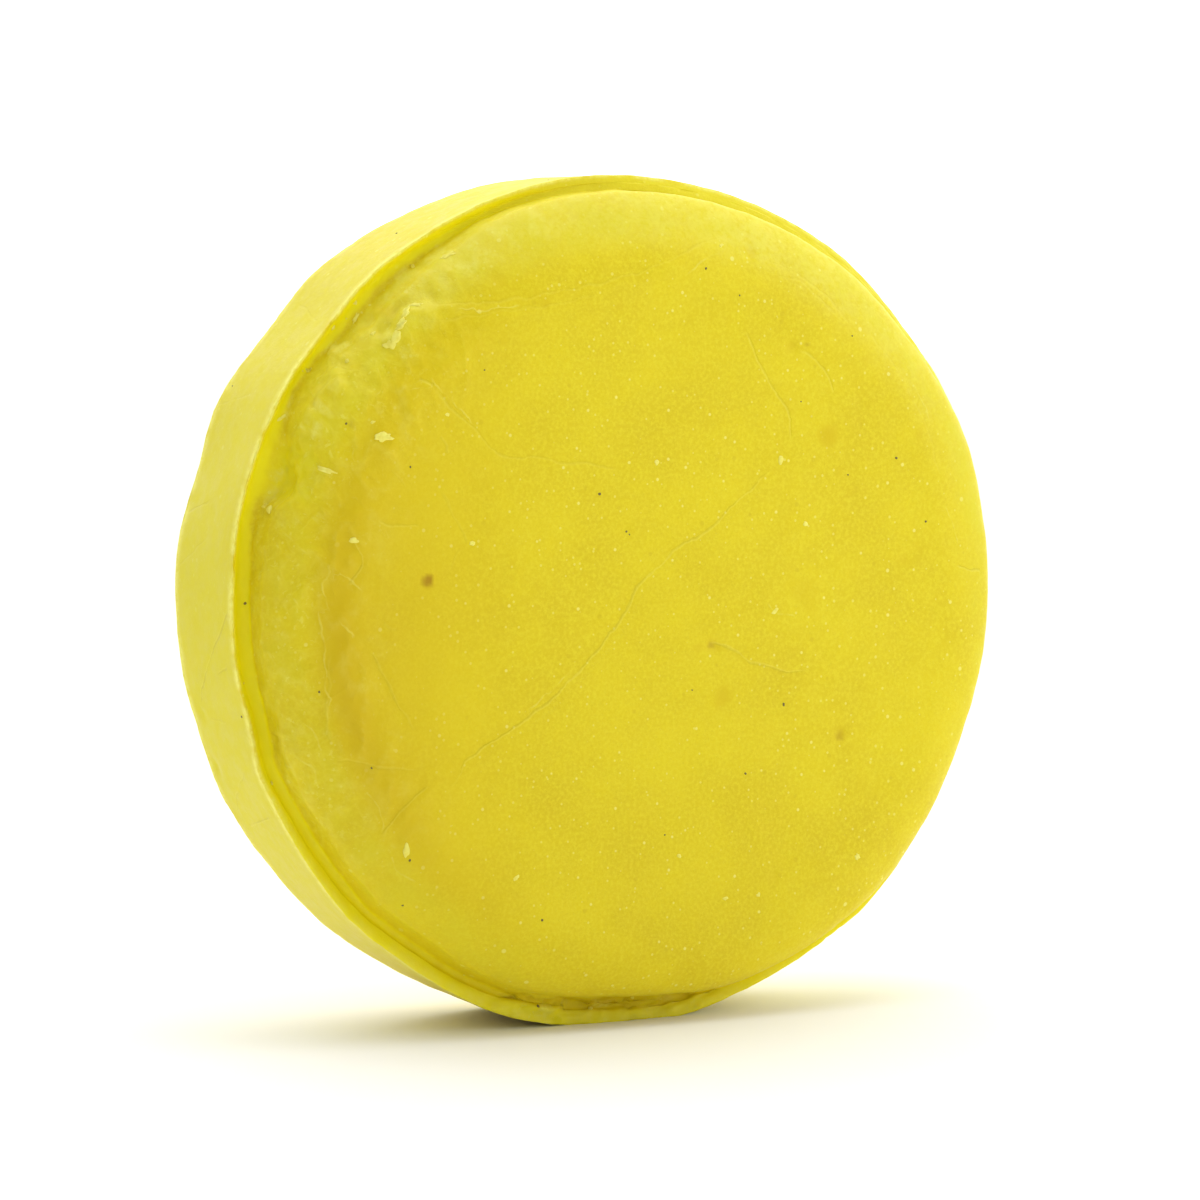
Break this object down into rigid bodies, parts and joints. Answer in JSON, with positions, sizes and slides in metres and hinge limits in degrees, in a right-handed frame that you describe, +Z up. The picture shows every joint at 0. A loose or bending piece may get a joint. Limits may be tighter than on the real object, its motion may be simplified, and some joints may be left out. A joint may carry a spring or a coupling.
{
  "type": "shaving soap puck",
  "caption": "Round pressed soap disc standing on edge: plain belt with a thin raised lip and groove at each rim, and a raised flat face with a rounded shoulder on both sides.",
  "frame": {"origin": "middle of the small worn flat under the belt, on which the disc stands on its edge", "axes": "+Z up; the disc's axis of revolution is along Y, the front face looks along -Y and the back face along +Y; +X is to the right seen from the front"},
  "size_m": [0.06, 0.018, 0.0597],
  "materials": {
    "soap": "hard milled soap, waxy satin with fine grain"
  },
  "bodies": {
    "root": {"soap_puck": "soap"}
  },
  "joints": []
}
